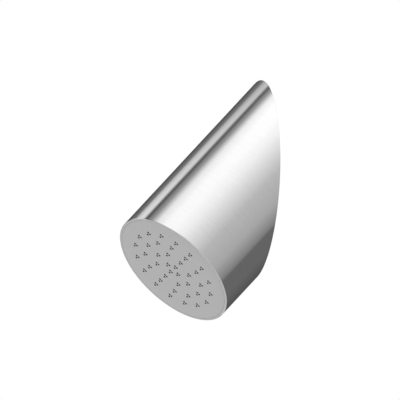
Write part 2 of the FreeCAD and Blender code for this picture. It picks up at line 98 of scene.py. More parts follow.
def add_node(tree: NodeTree, kind: str, inputs: dict | None = None, **settings: object) -> Node:
    """Adds a node with its settings, and links or sets its inputs.

    Args:
        tree: The shader or geometry tree to add to.
        kind: The node's type name.
        inputs: For each input, by name or number, a value to set or an output socket to link.
        **settings: The node's own properties.

    Returns:
        The new node.
    """
    node = tree.nodes.new(kind)
    for name, value in settings.items():
        setattr(node, name, value)
    for key, value in (inputs or {}).items():
        for source in value if isinstance(value, list) else [value]:
            if isinstance(source, NodeSocket):
                tree.links.new(source, node.inputs[key])
            else:
                node.inputs[key].default_value = source
    return node


def emptied(owner: Material | World) -> NodeTree:
    """Turns on the nodes of a material or a world, and gives back its tree with nothing in it."""
    owner.use_nodes = True
    owner.node_tree.nodes.clear()
    return owner.node_tree


def linked(name: str, data: Mesh | Camera) -> Object:
    """Makes an object of a mesh or a camera and puts it in the scene."""
    made = bpy.data.objects.new(name, data)
    bpy.context.scene.collection.objects.link(made)
    return made


def baked(carrier: Object) -> Mesh:
    """Gives a plain mesh of an object with its modifiers applied."""
    depsgraph = bpy.context.evaluated_depsgraph_get()
    return bpy.data.meshes.new_from_object(carrier.evaluated_get(depsgraph))


@dataclass(frozen=True)
class HeadFrame:
    """The head's own frame, set by its angle to the wall and the depth of the bend in the inlet's axis."""

    wall_angle: float = math.radians(40)
    bend_depth: float = 20 * MM

    @property
    def matrix(self) -> Matrix:
        """The step from the head's own frame to the model's frame."""
        start = Vector((0, 0, self.bend_depth / math.tan(self.wall_angle)))
        return Matrix.Translation(start) @ Matrix.Rotation(math.pi - self.wall_angle, 4, "X")

    def points(self, node: str) -> list[Vector]:
        """Gives a CAD node's points in the head's own frame."""
        back = self.matrix.inverted()
        return [back @ vertex.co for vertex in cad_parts[node].data.vertices]

    def box(self, node: str) -> tuple[Vector, Vector]:
        """Measures a CAD node in the head's own frame.

        Args:
            node: The CAD node's name.

        Returns:
            Its lowest and highest corners.
        """
        points = self.points(node)
        return Vector(map(min, *points)), Vector(map(max, *points))

    def radii(self, node: str) -> tuple[float, float]:
        """Measures a CAD node about the head's axis.

        Args:
            node: The CAD node's name.

        Returns:
            The distances from the axis of its nearest and its farthest point.
        """
        distances = [point.xy.length for point in self.points(node)]
        return min(distances), max(distances)

    def slant(self, radius: float, angle: float, depth: float) -> float:
        """Finds where a line along the tube comes to a depth from the wall.

        Args:
            radius: The line's distance from the head's axis.
            angle: The line's place round the axis, from X.
            depth: The distance from the wall's surface.

        Returns:
            The station on the head's axis.
        """
        rise = radius * math.sin(angle) * math.cos(self.wall_angle)
        return (depth - rise) / math.sin(self.wall_angle)


HEAD = HeadFrame()

# The step from a frame whose Z stands out from the wall, at the inlet's middle, to the model's frame
INLET_STEP = Matrix.Rotation(math.pi / 2, 4, "X")


class PatternFrame(Enum):
    """Whose axes the marks of a finish follow."""

    HEAD = "head"
    WALL = "wall"


@dataclass(frozen=True)
class Finish:
    """A surface as the eye meets it: its colour, its gloss and the marks that its making left."""

    label: str
    slot: str
    colour: str
    mark_colour: str
    metallic: float
    roughness: float
    roughness_swing: float
    mark_depth: float
    axes: PatternFrame = PatternFrame.HEAD

    def place(self, tree: NodeTree) -> NodeSocket:
        """Adds the nodes that give each point's place along the finish's own axes."""
        here = add_node(tree, "ShaderNodeTexCoord").outputs["Object"]
        if self.axes is PatternFrame.WALL:
            return here
        back = HEAD.matrix.inverted()
        turned = add_node(tree, "ShaderNodeMapping", {
            "Vector": here, "Location": back.to_translation(), "Rotation": back.to_euler(),
        })
        return turned.outputs["Vector"]

    def marks(self, tree: NodeTree, where: NodeSocket) -> NodeSocket:
        """Adds the pattern of the marks, from zero to one."""
        raise NotImplementedError

    def streaks(
        self, tree: NodeTree, where: NodeSocket, size: Sequence[float], detail: float = 3.0
    ) -> NodeSocket:
        """Adds a noise whose grains have a size of their own along each axis.

        Args:
            tree: The shader tree.
            where: The place along the finish's axes.
            size: A grain's length along X, Y and Z.
            detail: How many finer layers the noise has.

        Returns:
            The noise's output, from zero to one.
        """
        scaled = add_node(tree, "ShaderNodeMapping", {
            "Vector": where, "Scale": tuple(1 / length for length in size),
        })
        noise = add_node(tree, "ShaderNodeTexNoise", {
            "Vector": scaled.outputs["Vector"],
            "Scale": 1.0,
            "Detail": detail,
            "Roughness": NOISE_ROUGHNESS,
        })
        return noise.outputs[0]

    def material(self) -> Material:
        """Makes the finish's material, or gives back the one made before.

        Returns:
            The material, with marks in its colour, its gloss and its bump.
        """
        made = bpy.data.materials.get(self.label)
        if made is not None:
            return made
        made = bpy.data.materials.new(self.label)
        tree = emptied(made)
        marks = self.marks(tree, self.place(tree))
        colour = add_node(tree, "ShaderNodeMix", {
            MIX_FACTOR: marks, MIX_FIRST: linear(self.colour), MIX_SECOND: linear(self.mark_colour),
        }, data_type="RGBA")
        gloss = add_node(tree, "ShaderNodeMapRange", {
            "Value": marks,
            "To Min": self.roughness - self.roughness_swing,
            "To Max": self.roughness + self.roughness_swing,
        })
        bump = add_node(tree, "ShaderNodeBump", {
            "Height": marks, "Distance": self.mark_depth, "Strength": 1.0,
        })
        shader = add_node(tree, "ShaderNodeBsdfPrincipled", {
            "Base Color": colour.outputs[MIX_RESULT],
            "Metallic": self.metallic,
            "Roughness": gloss.outputs["Result"],
            "Normal": bump.outputs["Normal"],
        })
        add_node(tree, "ShaderNodeOutputMaterial", {"Surface": shader.outputs["BSDF"]})
        return made


@dataclass(frozen=True)
class BrushedSteel(Finish):
    """Stainless steel brushed one way: long fine streaks that soften a reflection across them."""

    streak: tuple[float, float, float] = (20 * MM, 20 * MM, 0.7 * MM)

    def marks(self, tree: NodeTree, where: NodeSocket) -> NodeSocket:
        """Adds the brush's streaks."""
        return self.streaks(tree, where, self.streak)


@dataclass(frozen=True)
class MachinedMetal(Finish):
    """Metal cut by a lathe's or a mill's tool: fine lines, as far apart as the tool's feed."""

    feed: float = 0.25 * MM
    line_length: float = 6 * MM
    detail: float = 2.0

    def marks(self, tree: NodeTree, where: NodeSocket) -> NodeSocket:
        """Adds the tool's lines, which run across the finish's Z."""
        return self.streaks(tree, where, (self.line_length, self.line_length, self.feed), self.detail)


@dataclass(frozen=True)
class MouldedSurface(Finish):
    """Plastic or rubber from a mould or a die: an even, fine and shallow grain with no direction."""

    grain: float = 0.4 * MM

    def marks(self, tree: NodeTree, where: NodeSocket) -> NodeSocket:
        """Adds the mould's grain."""
        return self.streaks(tree, where, (self.grain,) * 3)


# Grade 304 stainless tube, belt brushed round and round: a satin that blurs the light along the tube
SATIN_TUBE = BrushedSteel(
    "satin_stainless_tube", "shell_steel", "#CCCCCC", "#C2C2C2", 1.0, 0.11, 0.015, 0.003 * MM,
)

# The same steel as flat sheet, lightly brushed along X: an even grey with hardly a direction to it
SATIN_SHEET = BrushedSteel(
    "satin_stainless_sheet", "face_steel", "#B3B3B3", "#AFAFAF", 1.0, 0.3, 0.02, 0.002 * MM,
    streak=(9 * MM, 0.6 * MM, 0.6 * MM),
)

# The wall of a drilled hole in that sheet: dull, with painted shade in its dark colour, which stands for
# the little light that gets into it
SHADED_BORE = MachinedMetal(
    "bore_painted_shade_stainless", "face_steel", "#363637", "#2B2B2C", 1.0, 0.5, 0.05, 0.01 * MM,
)

# Mill-finish plate as it leaves the rolls: duller, with long faint streaks up the wall
MILL_PLATE = BrushedSteel(
    "mill_finish_stainless_plate", "plate_steel", "#B9BABB", "#ADAEAF", 1.0, 0.38, 0.05, 0.004 * MM,
    PatternFrame.WALL, (1.2 * MM, 1.2 * MM, 30 * MM),
)

# Cold headed and rolled screws: plain bright steel with fine turning rings
PLAIN_SCREW = MachinedMetal(
    "plain_stainless_fastener", "fastener_steel", "#BDBDBD", "#A6A6A6", 1.0, 0.3, 0.05, 0.004 * MM,
)

# A drawn bar of free-cutting brass, milled square: warm and bright, with fine straight tool marks
MILLED_BRASS = MachinedMetal(
    "milled_brass", "brass", "#E3C788", "#D2B271", 1.0, 0.28, 0.05, 0.003 * MM, PatternFrame.WALL,
)

# The same brass off the lathe: the tool's rings run round the axis, with a trace of tarnish between them
TURNED_BRASS = MachinedMetal(
    "turned_brass", "brass", "#E3C788", "#CFAE6C", 1.0, 0.25, 0.05, 0.003 * MM,
)

# Injection moulded black acetal: a deep even black with a low waxy gloss
BLACK_ACETAL = MouldedSurface(
    "moulded_black_acetal", "chamber_plastic", "#1B1B1D", "#232326", 0.0, 0.38, 0.06, 0.01 * MM,
)

# Injection moulded natural nylon: a milky off-white that looks slightly soft
NATURAL_NYLON = MouldedSurface(
    "moulded_natural_nylon", "nylon", "#E6E1D2", "#DAD4C2", 0.0, 0.45, 0.05, 0.01 * MM,
)

# Moulded and die-cut EPDM rubber: matt black with a fine dusty grain
EPDM_RUBBER = MouldedSurface(
    "black_epdm_rubber", "seal_rubber", "#222223", "#2D2D2F", 0.0, 0.72, 0.08, 0.03 * MM, grain=0.7 * MM,
)


class Surface:
    """A surface that is gathered ring by ring about Z, and may be moved afterwards."""

    def __init__(self, segments: int) -> None:
        """Starts an empty surface whose rings have this many points."""
        self.segments = segments
        self.points: list[Vector] = []
        self.faces: list[tuple[int, ...]] = []
        self.coats: list[int] = []
        self.coat = 0

    def add(self, points: Iterable[Vector]) -> list[int]:
        """Adds points and gives back their numbers."""
        first = len(self.points)
        self.points.extend(points)
        return list(range(first, len(self.points)))

    def ring(self, radius: Length, height: Length) -> list[int]:
        """Adds a ring of points about the axis.

        Args:
            radius: The ring's radius, or a function of the angle.
            height: The ring's station on the axis, or a function of the angle.

        Returns:
            The points' numbers.
        """
        points = []
        for index in range(self.segments):
            angle = 2 * math.pi * index / self.segments
            out = radius(angle) if callable(radius) else radius
            along = height(angle) if callable(height) else height
            points.append(Vector((out * math.cos(angle), out * math.sin(angle), along)))
        return self.add(points)

    def profile(self, outline: Iterable[tuple[Length, Length]]) -> list[list[int]]:
        """Adds a ring for each point of an outline, given as radius and height."""
        return [self.ring(*point) for point in outline]

    def bridge(self, first: Sequence[int], second: Sequence[int], skip: range = range(0)) -> None:
        """Joins two rings with a band of quads.

        Args:
            first: One ring's point numbers.
            second: The other's, as many.
            skip: The places in the band to leave open.
        """
        count = len(first)
        for index in range(count):
            if index in skip:
                continue
            after = (index + 1) % count
            self.faces.append((first[index], first[after], second[after], second[index]))
            self.coats.append(self.coat)

    def strip(self, rings: Sequence[Sequence[int]]) -> None:
        """Joins rings one after another."""
        for first, second in zip(rings, rings[1:]):
            self.bridge(first, second)

    def move(self, step: Matrix) -> None:
        """Moves all the points."""
        self.points = [step @ point for point in self.points]

    def mesh(self, name: str) -> Mesh:
        """Makes a mesh of the points and faces."""
        made = bpy.data.meshes.new(name)
        made.from_pydata([tuple(point) for point in self.points], [], self.faces)
        return made

    def fan(self, ring: Sequence[int], height: float) -> None:
        """Closes a ring with triangles to a point on the axis."""
        middle = self.add([Vector((0, 0, height))])[0]
        count = len(ring)
        for index in range(count):
            self.faces.append((ring[index], ring[(index + 1) % count], middle))
            self.coats.append(self.coat)


def arc(middle: Point, radius: float, start: float, end: float, steps: int = 3) -> list[Point]:
    """Works out a round stretch of an outline.

    Args:
        middle: The arc's centre, as a radius from the axis and a height.
        radius: The arc's own radius.
        start: The angle that it starts at, in degrees from straight outwards.
        end: The angle that it ends at.
        steps: How many straight pieces stand for it.

    Returns:
        The outline's points, as radius and height.
    """
    points = []
    for index in range(steps + 1):
        angle = math.radians(start + (end - start) * index / steps)
        points.append((middle[0] + radius * math.cos(angle), middle[1] + radius * math.sin(angle)))
    return points


def eased(outline: Sequence[Point], ease: float, steps: int = 3) -> list[Point]:
    """Rounds every corner of an outline a little, and keeps its two ends.

    Args:
        outline: The outline's points, as radius and height.
        ease: How far from its corner each rounding starts.
        steps: How many straight pieces stand for a rounding.

    Returns:
        The outline with its corners rounded.
    """
    points = [outline[0]]
    for before, corner, after in zip(outline, outline[1:], outline[2:]):
        ends = []
        for other in (before, after):
            share = ease / math.dist(corner, other)
            ends.append([here + (there - here) * share for here, there in zip(corner, other)])
        for step in range(steps + 1):
            way = step / steps
            weights = ((1 - way) ** 2, 2 * way * (1 - way), way ** 2)
            curve = zip(ends[0], corner, ends[1])
            points.append(tuple(sum(map(math.prod, zip(weights, place))) for place in curve))
    return [*points, outline[-1]]


def hexagon(flats: float) -> Callable[[float], float]:
    """Gives the radius of a hexagon, across its flats, at each angle."""
    return lambda angle: flats / 2 / math.cos(angle % (math.pi / 3) - math.pi / 6)


@dataclass(frozen=True)
class Thread:
    """A screw thread about Z: the radius that its crests rise from, and how far apart they are.

    The depth is negative for a thread inside a hole. A shift of half a turn fits it on its counterpart.
    The cut-off is the share of the depth by which the sides would overrun the crests and the roots, if
    these had no flats.
    """

    root: float
    depth: float
    pitch: float
    shift: float = 0.0
    rows: int = 8
    cut_off: float = 0.15

    def rise(self, angle: float, height: float) -> float:
        """Works out how far the thread rises at one place, with a small flat on each crest and root."""
        turn = (height / self.pitch - angle / (2 * math.pi) + self.shift) % 1.0
        share = 1 + self.cut_off - (1 + 2 * self.cut_off) * abs(2 * turn - 1)
        return abs(self.depth) * min(1.0, max(0.0, share))

    def rings(self, surface: Surface, start: float, end: float, mouth: float = 0.0) -> list[list[int]]:
        """Adds the thread's rings, which run out to the root at both ends.

        Args:
            surface: The surface to add to.
            start: The station where the thread starts.
            end: The station where it ends.
            mouth: The radius of a countersink that it starts in instead, if there is one.

        Returns:
            The rings, from start to end.
        """
        count = max(2, round(abs(end - start) / self.pitch * self.rows))
        rings = []
        for row in range(count + 1):
            height = start + (end - start) * row / count
            past_start = abs(height - start)
            most = min(abs(end - height), math.inf if mouth else past_start)

            def radius(
                angle: float, height: float = height, most: float = most, sunk: float = mouth - past_start
            ) -> float:
                """The thread's radius at one angle of this ring."""
                rise = min(self.rise(angle, height), most)
                return max(self.root + math.copysign(rise, self.depth), sunk)

            rings.append(surface.ring(radius, height))
        return rings


def chamfered(outline: Length, inscribed: float, slope: float, past_end: float) -> Callable[[float], float]:
    """Trims the corners of an outline near a piece's end, as a chamfering cone does.

    Args:
        outline: The untrimmed radius, or a function of the angle.
        inscribed: The cone's radius at the end.
        slope: How fast the cone widens away from it.
        past_end: The distance from the end.

    Returns:
        The trimmed radius, as a function of the angle.
    """
    cone = inscribed + slope * past_end

    def radius(angle: float) -> float:
        """The smaller of the outline and the cone."""
        return min(outline(angle) if callable(outline) else outline, cone)

    return radius


def rounded_ring(
    surface: Surface, inner: float, outer: float, low: float, high: float, rounding: float
) -> None:
    """Adds a closed ring of rectangular section with rounded edges.

    Args:
        surface: The surface to add to.
        inner: The ring's inner radius.
        outer: Its outer radius.
        low: The station of one flat.
        high: The station of the other.
        rounding: The edges' radius.
    """
    places = (
        (outer, high, 90, 0), (outer, low, 0, -90), (inner, low, -90, -180), (inner, high, 180, 90),
    )
    outline = []
    for radius, height, start, end in places:
        middle_radius = radius + math.copysign(rounding, (inner + outer) / 2 - radius)
        middle_height = height + math.copysign(rounding, (low + high) / 2 - height)
        outline += arc((middle_radius, middle_height), rounding, start, end)
    rings = surface.profile(outline)
    surface.strip([*rings, rings[0]])


def key_socket(surface: Surface, key: float, top: float, depth: float) -> list[list[int]]:
    """Adds the sides of a hexagon key's socket, which starts in a short lead-in.

    Args:
        surface: The surface to add to.
        key: The socket's width across its flats.
        top: The station that it opens at.
        depth: How deep it is.

    Returns:
        The rings, from the opening to the floor.
    """
    sides = hexagon(key)
    return surface.profile([
        (key / 2 / FLAT_SHARE + KEY_LEAD_IN, top), (sides, top - KEY_LEAD_IN), (sides, top - depth),
    ])


def merged(mesh: Mesh, step: Matrix = Matrix.Identity(4), flat_under: float = 0.0) -> int:
    """Moves a mesh, merges its doubles and turns its faces outwards.

    Args:
        mesh: The mesh, which is changed.
        step: The step to move it by.
        flat_under: The angle under which neighbouring faces are joined into one flat face.

    Returns:
        How many edges don't join just two faces.
    """
    work = bmesh.new()
    work.from_mesh(mesh)
    bmesh.ops.remove_doubles(work, verts=work.verts, dist=MERGE_DISTANCE)
    if flat_under:
        bmesh.ops.dissolve_degenerate(work, edges=work.edges, dist=MERGE_DISTANCE)
        bmesh.ops.dissolve_limit(work, angle_limit=flat_under, verts=work.verts, edges=work.edges)
    bmesh.ops.transform(work, matrix=step, verts=work.verts)
    bmesh.ops.recalc_face_normals(work, faces=work.faces)
    open_edges = sum(1 for edge in work.edges if not edge.is_manifold)
    work.to_mesh(mesh)
    work.free()
    return open_edges


@dataclass
class Piece:
    """One finished piece of the dressed model."""

    name: str
    finish: Finish
    stands_for: tuple[str, ...] = ()
    second_finish: Finish | None = None
    sharp_over: float = math.radians(28)
    flat_under: float = 0.0

    def from_surface(self, surface: Surface) -> Object:
        """Makes the piece from a surface in the head's own frame.

        Args:
            surface: The closed surface.

        Returns:
            The piece, in place and riding on the body.
        """
        mesh = surface.mesh(self.name)
        mesh.materials.append(self.finish.material())
        if self.second_finish:
            mesh.materials.append(self.second_finish.material())
        mesh.polygons.foreach_set("material_index", surface.coats)
        return self.from_mesh(mesh, HEAD.matrix)

    def from_mesh(self, mesh: Mesh, step: Matrix = Matrix.Identity(4)) -> Object:
        """Makes the piece from a mesh: merges its doubles, turns its faces outwards and dresses it.

        Args:
            mesh: The mesh.
            step: The step from the mesh's frame to the model's frame.

        Returns:
            The piece, in place and riding on the body.
        """
        mesh.name = self.name
        open_edges = merged(mesh, step, self.flat_under)
        mesh.shade_smooth()
        mesh.set_sharp_from_angle(angle=self.sharp_over)
        if not mesh.materials:
            mesh.materials.append(self.finish.material())
        piece = linked(self.name, mesh)
        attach(piece, BODY)
        if self.stands_for:
            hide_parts(*self.stands_for)
        LOG.info("%s: %d faces, %d open edges", self.name, len(mesh.polygons), open_edges)
        return piece


def dress(node: str, finish: Finish) -> None:
    """Gives a CAD node its finish and leaves its shape alone."""
    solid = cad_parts[node]
    solid.data.materials.clear()
    solid.data.materials.append(finish.material())
    LOG.info("%s: CAD shape, %s", node, finish.label)


def rubber_ring(name: str, node: str, rounding: float = 0.25 * MM, segments: int = 144) -> None:
    """Builds a rubber ring with rounded edges in a CAD ring's place.

    Args:
        name: The piece's name.
        node: The CAD node that it stands for.
        rounding: The edges' radius.
        segments: How many straight pieces the ring has.
    """
    low, high = HEAD.box(node)
    surface = Surface(segments)
    rounded_ring(surface, *HEAD.radii(node), low.z, high.z, rounding)
    Piece(name, EPDM_RUBBER, (node,)).from_surface(surface)


@dataclass
class CoverShell:
    """The slant-cut tube with its lock screw and the nut that the screw turns in."""

    wall: float = 2.0 * MM
    front_chamfer: float = 0.33 * MM
    edge_ease: float = 0.06 * MM
    bore_rounding: float = 0.04 * MM
    deburring: float = 0.15 * MM
    wall_clearance: float = 0.001 * MM
    segments: int = 256
    rows: int = 10
    window: int = 4
    hole_radius: float = 2.05 * MM
    hole_countersink: float = 0.25 * MM
    screw_pitch: float = 0.7 * MM
    screw_thread: float = 0.38 * MM
    screw_key: float = 2.0 * MM
    screw_key_depth: float = 2.5 * MM
    screw_cup: float = 0.4 * MM
    screw_cup_share: float = 0.5
    screw_tip_share: float = 0.8
    screw_segments: int = 48
    radius: float = field(init=False)
    front: float = field(init=False)
    hole_station: float = field(init=False)

    def __post_init__(self) -> None:
        """Takes the tube's size and the hole's place from the frame."""
        far = HEAD.box("cover_shell")[1]
        self.radius, self.front = far.x, far.z
        low, high = HEAD.box("lock_screw")
        self.hole_station = (low.z + high.z) / 2

    @property
    def window_places(self) -> range:
        """The places round the tube that the lock screw's window spans, about the lowest line."""
        bottom = 3 * self.segments // 4
        return range(bottom - self.window, bottom + self.window)

    def wall_rows(self, surface: Surface, radius: float, end: float) -> list[list[int]]:
        """Adds one face of the tube as rings, from the slanted edge to the front.

        Args:
            surface: The surface to add to.
            radius: The face's radius.
            end: The last ring's station.

        Returns:
            The rings. Those after the slanted rows and before the last frame the lock screw's hole.
        """
        cell = 2 * math.pi * self.radius / self.segments
        first = self.hole_station - self.window * cell
        rings = []
        for row in range(self.rows):
            share = row / self.rows

            def height(angle: float, share: float = share) -> float:
                """The station of this row on one line of the tube."""
                start = HEAD.slant(radius, angle, self.deburring)
                return start + (first - start) * share

            rings.append(surface.ring(radius, height))
        for row in range(2 * self.window + 1):
            rings.append(surface.ring(radius, first + row * cell))
        rings.append(surface.ring(radius, end))
        return rings

    def hole_frame(self, rings: Sequence[Sequence[int]]) -> list[int]:
        """Walks round the square window that the lock screw's hole is cut in.

        Args:
            rings: One face's rings.

        Returns:
            The numbers of the points round the window.
        """
        first, last = self.window_places.start, self.window_places.stop
        window = rings[self.rows:self.rows + 2 * self.window + 1]
        frame_points = list(window[0][first:last])
        frame_points += [ring[last] for ring in window[:-1]]
        frame_points += list(reversed(window[-1][first + 1:last + 1]))
        frame_points += [ring[first] for ring in reversed(window[1:])]
        return frame_points

    def hole_ring(self, surface: Surface, around: Sequence[int], hole: float, radius: float) -> list[int]:
        """Adds a ring of the lock screw's hole, each point in line with one of the window's.

        Args:
            surface: The surface to add to.
            around: The window's points.
            hole: The ring's own radius.
            radius: The distance from the head's axis that it is cut at.

        Returns:
            The ring's point numbers.
        """
        points = []
        for number in around:
            corner = surface.points[number]
            angle = math.atan2(corner.z - self.hole_station, corner.x)
            across = hole * math.cos(angle)
            down = math.sqrt(radius ** 2 - across ** 2)
            points.append(Vector((across, -down, self.hole_station + hole * math.sin(angle))))
        return surface.add(points)

    def band(self, surface: Surface, rings: Sequence[Sequence[int]]) -> None:
        """Joins one face's rings, and leaves the hole's window open."""
        for row, (first, second) in enumerate(zip(rings, rings[1:])):
            in_window = self.rows <= row < self.rows + 2 * self.window
            surface.bridge(first, second, self.window_places if in_window else range(0))

    def tube(self) -> None:
        """Builds the tube with its chamfered front, its slanted cut and the lock screw's hole."""
        inner = self.radius - self.wall
        chamfer_start = self.front - self.front_chamfer
        rim = self.radius - self.front_chamfer
        margin = 2 * self.edge_ease
        surface = Surface(self.segments)
        outside = self.wall_rows(surface, self.radius, chamfer_start - margin)
        inside = self.wall_rows(surface, inner, self.front - self.bore_rounding)
        self.band(surface, outside)
        self.band(surface, inside)
        lip_outline = eased([
            (self.radius, chamfer_start - margin),
            (self.radius, chamfer_start),
            (rim, self.front),
            (rim - margin, self.front),
        ], self.edge_ease)
        lip = surface.profile(lip_outline[1:])
        middle = (inner + self.bore_rounding, self.front - self.bore_rounding)
        bore = surface.profile(arc(middle, self.bore_rounding, 90, 180)[:-1])
        surface.strip([outside[-1], *lip])
        surface.coat = 1
        surface.strip([lip[-1], *bore, inside[-1]])
        surface.coat = 0
        cut = []
        for radius in (self.radius - self.deburring, inner + self.deburring):

            def on_wall(angle: float, radius: float = radius) -> float:
                """The station of the slanted cut on one line of the tube."""
                return HEAD.slant(radius, angle, self.wall_clearance)

            cut.append(surface.ring(radius, on_wall))
        surface.strip([outside[0], *cut, inside[0]])
        outer_frame = self.hole_frame(outside)
        inner_frame = self.hole_frame(inside)
        hole = [
            outer_frame,
            self.hole_ring(surface, outer_frame, self.hole_radius + self.hole_countersink, self.radius),
            self.hole_ring(surface, outer_frame, self.hole_radius, self.radius - self.hole_countersink),
            self.hole_ring(surface, inner_frame, self.hole_radius, inner),
            inner_frame,
        ]
        surface.strip(hole)
        Piece("satin_tube", SATIN_TUBE, ("cover_shell",), SATIN_SHEET).from_surface(surface)

    def grub_screw(self) -> None:
        """Builds the headless lock screw: thread, hexagon socket and cupped tip."""
        low, high = HEAD.box("lock_screw")
        length = high.y - low.y
        radius = high.x
        surface = Surface(self.screw_segments)
        core = radius - self.screw_thread
        thread = Thread(core, self.screw_thread, self.screw_pitch).rings(surface, 0, length)
        socket = key_socket(surface, self.screw_key, length, self.screw_key_depth)
        cup = surface.ring(core * self.screw_cup_share, self.screw_cup)
        tip = surface.ring(core * self.screw_tip_share, 0)
        surface.strip([cup, tip, *thread, *socket])
        surface.fan(cup, self.screw_cup)
        surface.fan(socket[-1], length - self.screw_key_depth - self.screw_cup)
        surface.move(Matrix.Translation((0, high.y, self.hole_station)) @ INLET_STEP)
        Piece("lock_grub_screw", PLAIN_SCREW, ("lock_screw",)).from_surface(surface)

    def build(self) -> None:
        """Builds and dresses the tube and what locks it."""
        self.tube()
        self.grub_screw()
        dress("lock_nut", PLAIN_SCREW)


class GeometryTree:
    """A geometry tree with named inputs, which takes a mesh in and gives a dressed one back."""

    def __init__(self, name: str) -> None:
        """Starts the tree, with its geometry going in and coming out."""
        self.tree = bpy.data.node_groups.new(name, "GeometryNodeTree")
        self.sockets: dict[str, str] = {}
        self.tree.interface.new_socket("Geometry", in_out="OUTPUT", socket_type="NodeSocketGeometry")
        self.tree.interface.new_socket("Geometry", in_out="INPUT", socket_type="NodeSocketGeometry")
        self.group_in = self.tree.nodes.new("NodeGroupInput")

    def size(self, name: str, kind: str = "Float") -> NodeSocket:
        """Gives one of the tree's named inputs, made on its first use."""
        if name not in self.sockets:
            made = self.tree.interface.new_socket(name, in_out="INPUT", socket_type=f"NodeSocket{kind}")
            self.sockets[name] = made.identifier
        return self.group_in.outputs[name]

    def node(self, kind: str, inputs: dict | None = None, **settings: object) -> Node:
        """Adds a node to the tree."""
        return add_node(self.tree, f"GeometryNode{kind}", inputs, **settings)

    def math(self, operation: str, first: object, second: object = 0.0) -> NodeSocket:
        """Adds an operation on one or two values."""
        return add_node(self.tree, "ShaderNodeMath", {0: first, 1: second}, operation=operation).outputs[0]

    def vector(self, x: object, y: object, z: object = 0.0) -> NodeSocket:
        """Adds a vector of three values."""
        return add_node(self.tree, "ShaderNodeCombineXYZ", {"X": x, "Y": y, "Z": z}).outputs[0]

    def line(self, count: str, start: object, step: object) -> NodeSocket:
        """Adds a line of points, whose number is a named input."""
        made = self.node("MeshLine", {
            "Count": self.size(count, "Int"), "Start Location": start, "Offset": step,
        })
        return made.outputs[0]

    def raised(self, geometry: NodeSocket, height: NodeSocket) -> NodeSocket:
        """Moves geometry to a station on the axis."""
        offset = self.vector(0.0, 0.0, height)
        return self.node("Transform", {"Geometry": geometry, "Translation": offset}).outputs[0]

    def placed(self, points: NodeSocket, shape: NodeSocket) -> NodeSocket:
        """Puts a real copy of a shape at every point."""
        copies = self.node("InstanceOnPoints", {"Points": points, "Instance": shape})
        return self.node("RealizeInstances", {"Geometry": copies.outputs[0]}).outputs[0]

    def dressed(self, geometry: NodeSocket, finish: str) -> NodeSocket:
        """Makes everything real and gives it a finish, which is a named input."""
        real = self.node("RealizeInstances", {"Geometry": geometry})
        coat = self.node("SetMaterial", {
            "Geometry": real.outputs[0], "Material": self.size(finish, "Material"),
        })
        return coat.outputs[0]

    def end(self, geometry: NodeSocket) -> None:
        """Sends the finished geometry out of the tree."""
        add_node(self.tree, "NodeGroupOutput", {0: geometry})

    def apply(self, mesh: Mesh, sizes: dict[str, object]) -> Mesh:
        """Runs the tree on a mesh.

        Args:
            mesh: The mesh that goes in.
            sizes: A value for each named input.

        Returns:
            A plain mesh of the result.
        """
        carrier = linked(self.tree.name, mesh)
        modifier = carrier.modifiers.new(self.tree.name, "NODES")
        modifier.node_group = self.tree
        for name, value in sizes.items():
            modifier[self.sockets[name]] = value
        result = baked(carrier)
        carrier.modifiers.remove(modifier)
        bpy.data.objects.remove(carrier)
        return result


